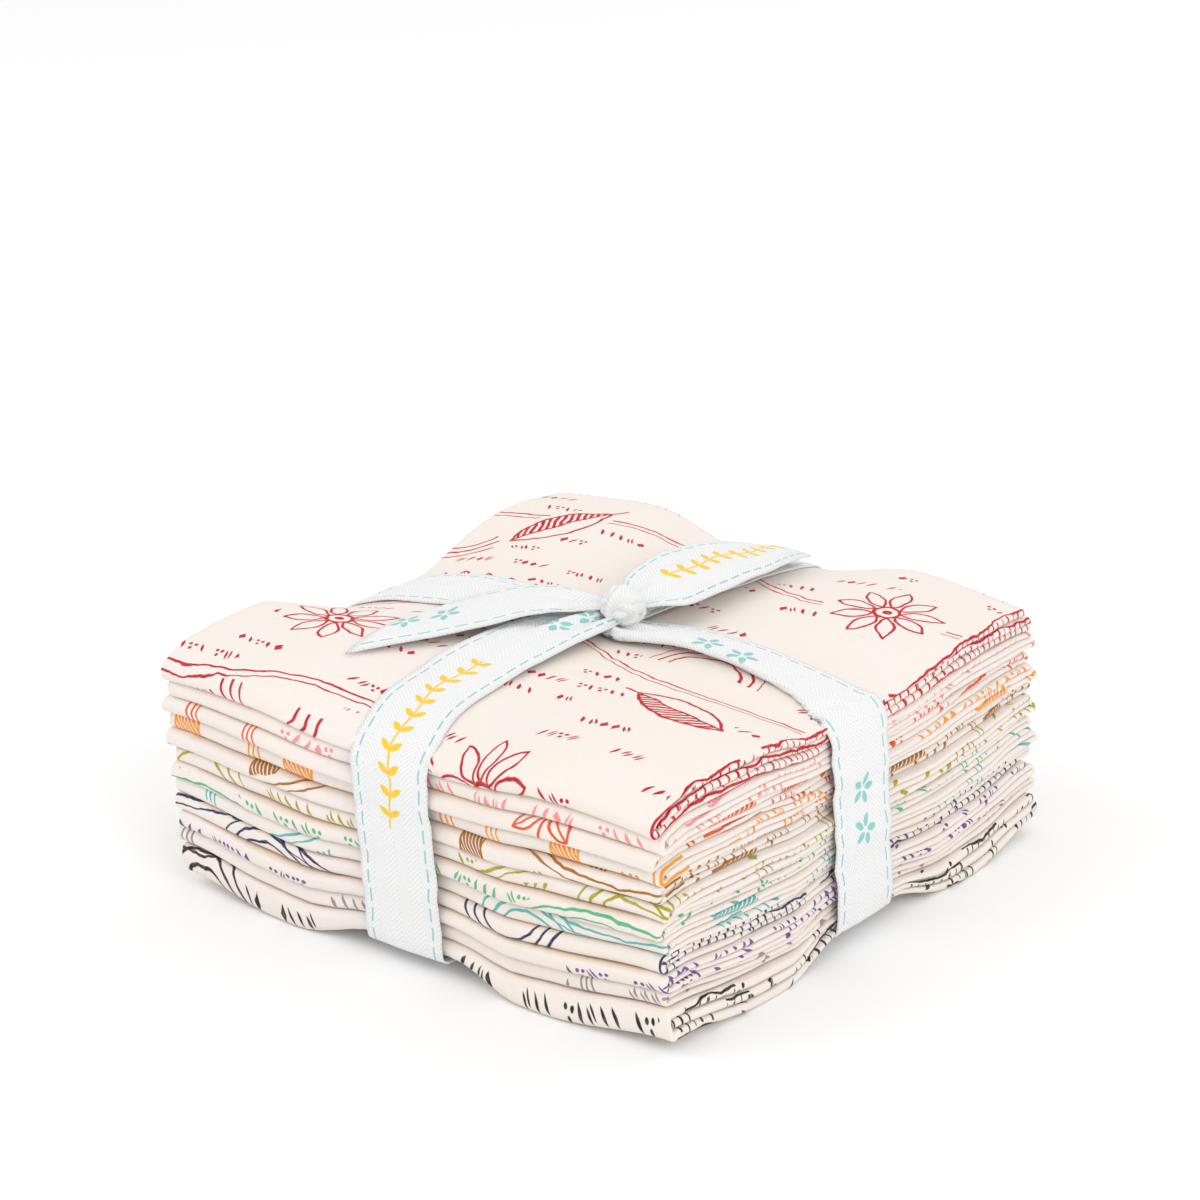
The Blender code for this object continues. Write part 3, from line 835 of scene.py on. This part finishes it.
def makeTwill():
    material, tree, shader = newCloth("whiteTwill", ribbon)
    x, y = flatPlace(tree)
    zigzag = x.does("PINGPONG", ribbon["zigzag"])
    diagonal = (y + zigzag).wave(ribbon["ribPitch"])
    spine = (abs(x.wrapped(ribbon["zigzag"])) * -4.0 + 0.7).more(0.0)
    crosswise = y.wave(ribbon["crossPitch"]) * 0.25
    selvage = (abs(x) - (ribbonHalf - ribbon["selvage"])).over(0.0)
    height = diagonal * 0.5 + crosswise - spine * 0.35 + selvage * 0.4
    edge = abs(abs(x) - (ribbonHalf - ribbon["stitchFromEdge"]))
    dash = abs(y.wrapped(ribbon["stitchPitch"])) - ribbon["stitchLong"] / 2.0
    stitch = (edge - 0.24).more(dash)
    # a woven vine down the middle: a bent stem with leaves in pairs, then small flowers
    run = y.wrapped(ribbon["patternLength"])
    bent = x - (y * 0.30).does("SINE") * 0.7
    stem = abs(bent) - 0.3
    leafX, leafY = turnedBy(abs(bent), y.wrapped(ribbon["leafPitch"]), ribbon["leafTurn"])
    leaves = leafShape(leafX, leafY - 1.9, 1.9, 0.82)
    vine = stem.less(leaves).more(abs(run - ribbon["vineMiddle"]) - ribbon["vineHalf"])
    firstPair, secondPair = ribbon["flowerPairs"]
    away = (y - (firstPair + secondPair) / 2.0).wrapped(ribbon["patternLength"])
    away = abs(away) - (secondPair - firstPair) / 2.0
    flowerY = (away + ribbon["flowerPitch"] / 2.0).wrapped(ribbon["flowerPitch"])
    bloom = petalRing(x, flowerY, 5, 2.4, 1.7, 0.9)[1].more(abs(away) - ribbon["flowerPitch"])
    sharp = -1.0 / ribbon["softness"]
    yellow = (vine * sharp + 0.5).clamped()
    teal = (stitch.less(bloom) * sharp + 0.5).clamped()
    shade = (diagonal * -0.5 + 0.5) * 0.34 + spine * 0.16
    cloth = mixColours(tree, shade, ribbon["white"], ribbon["whiteShade"])
    cloth = mixColours(tree, yellow * 0.95, cloth, ribbon["yellow"])
    cloth = mixColours(tree, teal * 0.85, cloth, ribbon["thread"])
    feed(shader.inputs["Base Color"], cloth)
    feed(shader.inputs["Normal"], bumpFrom(tree, height + teal * 0.5, ribbon["weaveDepth"], 0.7))
    return material


def smoothRows(table, count):
    # a smooth line through the rows of a table, and count rows along it
    rows = np.array(table, float)
    knots = arcLength(rows[:, :2])
    slopes = np.gradient(rows, knots, axis=0)
    at = np.linspace(0.0, knots[-1], count)
    found = np.clip(np.searchsorted(knots, at, side="right") - 1, 0, len(knots) - 2)
    span = (knots[found + 1] - knots[found])[:, None]
    t = ((at - knots[found])[:, None]) / span
    return ((2 * t ** 3 - 3 * t ** 2 + 1) * rows[found] + (t ** 3 - 2 * t ** 2 + t) * span * slopes[found]
            + (-2 * t ** 3 + 3 * t ** 2) * rows[found + 1] + (t ** 3 - t ** 2) * span * slopes[found + 1])


# Each arm of the ribbon on top, by distance from the knot's middle: sideways place of its
# middle, half of the width that shows, how much is tucked under, bank (height of one edge
# over the other) and height over the cloth (mm)
arms = {
    "front": ((0, 0.0, 5.4, 0, 0.0, 3.0), (8, -2.5, 9.1, 0, 0.0, 3.6), (17, -4.0, 10.8, 0, 0.0, 2.8),
              (33, -4.5, 11.1, 0, 0.0, 1.6), (49, -4.9, 11.1, 0, 0.0, 0.9), (61, -4.4, 11.1, 0, 0.0, 0.7),
              (74, -1.2, 11.1, 0, 0.0, 0.6)),
    "right": ((0, 0.4, 4.8, 0, 0.0, 1.4), (7, 0.8, 6.6, 1.4, -0.8, 2.0), (14, 2.0, 7.4, 5.0, -1.3, 2.2),
              (30, 2.7, 7.3, 5.9, -1.6, 1.9), (47, 2.4, 7.2, 6.2, -1.4, 1.4), (61, 1.2, 8.4, 4.2, -0.8, 0.9),
              (71, -1.6, 10.9, 0.2, 0.0, 0.7)),
    "back": ((0, 0.0, 4.8, 0, 0.0, 2.4), (10, 0.0, 6.4, 0, 0.0, 2.2), (24, 0.4, 9.2, 0, 0.0, 1.4),
             (44, 0.4, 11.1, 0, 0.0, 0.8), (62, 0.2, 11.1, 0, 0.0, 0.7), (74, 0.0, 11.1, 0, 0.0, 0.6)),
    "left": ((0, 0.0, 4.4, 0, 0.0, 1.4), (10, 0.0, 6.0, 0, 0.0, 1.6), (24, -0.4, 8.8, 0, 0.0, 1.1),
             (44, -0.4, 11.1, 0, 0.0, 0.8), (60, 0.0, 11.1, 0, 0.0, 0.7), (71, 0.0, 11.1, 0, 0.0, 0.6)),
}


def widthOf(columns):
    # places across the ribbon, from one edge to the other
    return np.linspace(-ribbonHalf, ribbonHalf, columns)[None, :]


def ribbonPiece(name, places, flat, node):
    return clothPiece(name, places, flat, ribbon["thickness"], node, twill)


def shortfallPleats(share, flatWidth, shownWidth, waves, start):
    # the gathered part of a width stands up in pleats
    spare = np.maximum(flatWidth / np.maximum(shownWidth, 0.1) - 1.0, 0.0)
    deep = 0.9 * shownWidth / waves / math.pi * np.sqrt(spare)
    ends = np.sin(math.pi * np.clip(share, 0.0, 1.0)) ** 0.4
    return deep * ends * (0.75 * np.sin(fullTurn * waves * share + start)
                          + 0.25 * np.sin(fullTurn * (waves + 1.7) * share + 2.1 * start))


def bandRows(near, opposite, halfSpan, corner, faceDrift, under):
    # rows along one wrap, from the knot over one side, underneath and back up the other side:
    # distance, level, sideways place, half width, tuck, bank; corner is the radius at the top,
    # faceDrift how far the band stands aside on each face
    reach = halfSpan + ribbon["sideAir"]
    foot = ribbon["footRadius"]
    bottom = -ribbon["baseAir"] - under
    full = (ribbonHalf, 0.0, 0.0)
    sides = []
    for name, sign in ((near, 1), (opposite, -1)):
        side = [(sign * d, stackHeight + lift, place, half, tuck, bank)
                for d, place, half, tuck, bank, lift in smoothRows(arms[name], ribbon["armRows"])
                if d < reach - corner - 0.5]
        top, drift = side[-1][1:3]
        side += [(sign * d, level, drift, *full)
                 for d, level in turn(reach - corner, top - corner, corner, 90, 0, 7)[1:]]
        for level in np.linspace(top - corner, bottom + foot, ribbon["sideRows"])[1:]:
            share = (top - level) / (top - bottom)
            side.append((sign * reach, level, drift + (faceDrift[name] - drift) * share, *full))
        side += [(sign * d, level, faceDrift[name], *full)
                 for d, level in turn(reach - foot, bottom + foot, foot, 0, -90, 5)[1:]]
        sides.append(np.array(side))
    start, stop = sides[0][-1], sides[1][-1]
    beneath = start + (stop - start) * np.linspace(0.0, 1.0, ribbon["baseRows"])[1:-1, None]
    return np.concatenate([sides[0], beneath, sides[1][::-1]])


def makeWrap(name, node, alongX, rows, patternStart, seed):
    # lays the ribbon's width across each row and bends it with the stack
    columns = ribbon["columns"]
    across = widthOf(columns)
    distance, level, place, half, tuck, bank = [c[:, None] for c in rows.T]
    radius = np.clip(tuck / 3.0, 0.0001, ribbon["tuckRadius"])
    tucked = tuck + math.pi * radius * (tuck > 0.3)
    fromEdge = across + ribbonHalf                      # 0 at the tucked edge
    isTucked = fromEdge < tucked
    shown = np.clip((fromEdge - tucked) / (ribbonWidth - tucked), 0.0, 1.0)
    inTurn = np.clip((tucked - fromEdge) / radius, 0.0, math.pi)
    under = np.clip(tucked - math.pi * radius - fromEdge, 0.0, ribbonWidth)
    # the edges of the free width are not quite straight, nor quite flat
    length = arcLength(rows[:, :2])[:, None]
    sideways = -half + 2.0 * half * shown - radius * np.sin(inTurn) * isTucked + under
    sideways = sideways + 0.14 * sway(seed, length, 47.0) + place
    up = shortfallPleats(shown, ribbonWidth - tucked, 2.0 * half, 2.4, seed + distance * 0.05)
    up = up + bank * (shown - 0.5) - radius * (1.0 - np.cos(inTurn)) * isTucked
    crown = 0.22 * (1.0 - (across / ribbonHalf) ** 2)
    crown = crown + 0.12 * sway(seed + 3, length + across, 29.0)
    onTop = level > stackHeight - 1.0
    reach = distance + np.where(onTop, 0.0, crown) * np.sign(distance)
    lifted = level + np.where(onTop, up + crown, 0.0)
    places = pillow(reach, sideways, lifted) if alongX else pillow(sideways, reach, lifted)
    along = arcLength(places[:, columns // 2] / mm)
    flat = grid(across, along[:, None] + patternStart) * mm
    piece = ribbonPiece(name, places, flat, node)


# The free ends, as pairs of edge points: first edge x, y and height over the cloth, second
# edge the same (mm). The last row is the slant cut.
tails = {
    "left": (
        (-1.4, 4.2, 5.4, -1.0, 0.4, 5.6),
        (-5.6, 4.9, 6.3, -5.0, -3.4, 6.0),
        (-14.0, 4.4, 6.4, -8.6, -10.0, 6.3),
        (-26.4, -1.6, 5.0, -14.0, -19.8, 5.0),
        (-33.6, -8.8, 3.6, -20.2, -30.4, 3.4),
        (-38.2, -15.4, 2.1, -26.6, -41.8, 2.2),
        (-40.6, -20.2, 1.1, -34.6, -55.8, 0.9),
    ),
    "right": (
        (-1.6, 5.4, 5.8, 5.2, 4.8, 5.8),
        (-3.6, 9.6, 6.6, 8.2, 7.2, 6.3),
        (-7.8, 15.6, 7.2, 13.0, 11.8, 6.0),
        (-9.2, 26.0, 7.6, 14.2, 24.0, 5.0),
        (-8.4, 42.0, 7.0, 14.2, 40.0, 4.6),
        (-7.8, 55.0, 5.4, 13.6, 53.4, 4.4),
        (-7.2, 65.0, 4.0, 9.2, 70.6, 3.2),
    ),
}


def makeTail(name, node, table, arch, patternStart, seed):
    rows = smoothRows(table, ribbon["tailRows"])
    columns = ribbon["columns"]
    across = widthOf(columns)
    share = across / ribbonWidth + 0.5
    x1, y1, over1, x2, y2, over2 = [c[:, None] for c in rows.T]
    x = x1 + (x2 - x1) * share
    y = y1 + (y2 - y1) * share
    over = over1 + (over2 - over1) * share
    gone = np.linspace(0.0, 1.0, len(rows))[:, None]
    shownWidth = np.hypot(x2 - x1, y2 - y1)
    pleats = shortfallPleats(share, ribbonWidth, shownWidth, 2.6, seed + gone)
    pleats = pleats * (1.0 - ease((gone - 0.15) / 0.35))
    over = over + pleats + arch * (1.0 - (2.0 * share - 1.0) ** 2) * ease(gone / 0.3) * (1.0 - 0.5 * gone)
    over = over + 0.35 * sway(seed, share * 14.0 + gone * 40.0, 31.0) * ease(gone / 0.2)
    over = np.maximum(over, 0.45)
    shiftX, shiftY = stack["middle"]
    overX = x + stack["lean"] / 2.0
    height = topHeight(overX, y) - troughDepth(overX, y) + over
    places = grid(x + shiftX, y + shiftY, height) * mm
    steps = np.linalg.norm(np.diff(places, axis=0), axis=2)
    along = np.concatenate([np.zeros((1, columns)), np.cumsum(steps, axis=0)])
    flat = grid(across * mm, along + patternStart * mm)
    piece = ribbonPiece(name, places, flat, node)


knot = {
    "middle": (1.5, 2.5, 63.6),
    "turn": -14.0,              # degrees, of the strand that goes over
    "halfLong": 5.0,
    "high": 4.9,
    "half": 3.9,
    "footNarrower": 1.3,        # the strand tapers towards the front foot
    "turnRadius": 0.45,
    "waves": 0.22,
    # place across the strand, drift along it, depth
    "creases": ((-0.52, 0.30, 0.62), (-0.02, -0.42, 0.55), (0.46, 0.22, 0.50)),
    "creaseHalf": 0.13,
    "patternStart": 76.0,       # a bare length of the ribbon
    "strandMesh": (48, 91),
    "strandReach": (-28.0, 208.0),      # degrees, from the front foot over to the back one
    "coreHalf": (6.0, 3.9, 3.7),
    "coreMesh": (25, 73),
    "coreFolds": 8,
    "coreLower": 0.4,
    "coreFlat": 0.014,          # metres of ribbon in the roll
}


def foldedUnder(across, shownHalf, radius):
    # a width of ribbon with both edges folded under, one below the other: sideways place and
    # depth below the top
    side = np.sign(across)
    radius = radius * np.where(across > 0.0, 1.8, 1.0)
    past = np.maximum(np.abs(across) - shownHalf, 0.0)
    inTurn = np.minimum(past / radius, math.pi)
    under = np.maximum(past - math.pi * radius, 0.0)
    spread = side * (np.minimum(np.abs(across), shownHalf) + radius * np.sin(inTurn) - under)
    return spread, radius * (1.0 - np.cos(inTurn))


def makeKnotStrand():
    # one strand with its edges folded under, that goes over the knot and tucks down behind it
    rows, columns = knot["strandMesh"]
    across = widthOf(columns)
    angle = np.radians(np.linspace(*knot["strandReach"], rows))[:, None]
    half = knot["half"] * (0.80 + 0.20 * np.abs(np.sin(angle)) ** 2) - knot["footNarrower"] * np.cos(angle)
    spread, depth = foldedUnder(across, half, knot["turnRadius"])
    share = spread / half
    crease = knot["waves"] * (np.sin(share * 5.2 + 0.8 * np.sin(angle))
                              + 0.6 * np.sin(share * 9.0 + 2.0 * angle))
    for place, drift, deep in knot["creases"]:
        away = (share - place - drift * np.cos(angle)) / knot["creaseHalf"]
        crease = crease - deep * np.exp(-away ** 2)
    rounded = 1.0 - 0.30 * np.minimum(np.abs(share), 1.1) ** 2.4
    along = -(knot["halfLong"] * rounded - depth + crease) * np.cos(angle)
    up = (knot["high"] * rounded - depth + crease) * np.sin(angle)
    x, y = turnedBy(spread + 0.5 * np.sin(angle * 2.0), along, -knot["turn"])
    points = grid(x, y, up) + np.array(knot["middle"])
    line = arcLength(points[:, columns // 2])
    flat = grid(across, line[:, None] + knot["patternStart"]) * mm
    piece = ribbonPiece("ribbonKnot.strand", points * mm, flat, "ribbon_knot")


def makeKnotInside():
    # the strands that cross inside the knot: a soft pleated roll across it
    rings, around = knot["coreMesh"]
    run = np.linspace(-1.0, 1.0, rings)[:, None]
    angle = np.linspace(0.0, fullTurn, around)[None, :]
    long, wide, high = knot["coreHalf"]
    taper = np.sqrt(np.clip(1.0 - np.abs(run) ** 2.6, 0.0004, 1.0))
    folds = 1.0 + 0.07 * np.sin(knot["coreFolds"] * angle + 1.3 * run)
    folds = taper * (folds + 0.04 * np.sin(4.0 * angle - 2.0 * run))
    x, y = turnedBy(run * long, wide * folds * np.cos(angle), -knot["turn"] / 2.0)
    points = grid(x, y, high * folds * np.sin(angle) - knot["coreLower"]) + np.array(knot["middle"])
    flat = grid(run * long, angle * 4.0 + knot["patternStart"]) * mm
    piece = ribbonPiece("ribbonKnot.inside", points * mm, flat, "ribbon_knot")


twill = makeTwill()
longRows = bandRows("right", "left", halfLength, corner=4.5,
                    faceDrift={"right": -2.2, "left": 0.0}, under=0.0)
crossRows = bandRows("back", "front", halfWidth, corner=4.8,
                     faceDrift={"front": -0.9, "back": 0.0}, under=1.0)
makeWrap("ribbonWrap.long", "ribbon_wrap_long", True, longRows, patternStart=25.0, seed=5)
makeWrap("ribbonWrap.cross", "ribbon_wrap_cross", False, crossRows, patternStart=100.0, seed=8)
print("ribbon wrapped both ways")
makeTail("ribbonTail.left", "ribbon_tail_left", tails["left"], arch=1.6, patternStart=76.0, seed=2)
makeTail("ribbonTail.right", "ribbon_tail_right", tails["right"], arch=1.2, patternStart=-41.0, seed=6)
makeKnotInside()
makeKnotStrand()
print("knot and free ends made")


studio = {
    "floor": 6.0,               # metres along each side
    "floorColour": (0.95, 0.95, 0.95, 1.0),
    "skyStrength": 0.87,
    "aimHeight": 0.03,
    # place, size and watts of each soft light; all look at the stack
    "lights": (
        ((-0.9, -0.8, 1.0), 1.2, 4.6),
        ((1.3, -0.6, 0.9), 1.0, 6.5),
        ((0.2, 1.2, 1.2), 1.2, 3.5),
    ),
}


def setUpStudio():
    mesh = bpy.data.meshes.new("studioFloor")
    half = studio["floor"] / 2.0
    corners = [(-half, -half, 0), (half, -half, 0), (half, half, 0), (-half, half, 0)]
    mesh.from_pydata(corners, [], [(0, 1, 2, 3)])
    floor = bpy.data.objects.new("studioFloor", mesh)
    material = bpy.data.materials.new("paleFloor")
    material.use_nodes = True
    shader = material.node_tree.nodes["Principled BSDF"]
    feed(shader.inputs["Base Color"], studio["floorColour"])
    feed(shader.inputs["Roughness"], 0.9)
    mesh.materials.append(material)
    scene.collection.objects.link(floor)
    sky = bpy.data.worlds.new("studioSky")
    sky.use_nodes = True
    background = sky.node_tree.nodes["Background"]
    feed(background.inputs["Color"], (1.0, 1.0, 1.0, 1.0))
    feed(background.inputs["Strength"], studio["skyStrength"])
    scene.world = sky
    for number, (place, size, watts) in enumerate(studio["lights"]):
        lamp = bpy.data.lights.new("softLight.%d" % number, "AREA")
        lamp.size = size
        lamp.energy = watts
        holder = bpy.data.objects.new(lamp.name, lamp)
        holder.location = place
        x, y, z = place
        tilt = math.atan2(math.hypot(x, y), z - studio["aimHeight"])
        holder.rotation_euler = (tilt, 0.0, math.atan2(x, -y))
        scene.collection.objects.link(holder)
    scene.view_settings.view_transform = "Standard"


setUpStudio()
print("floor and light set")
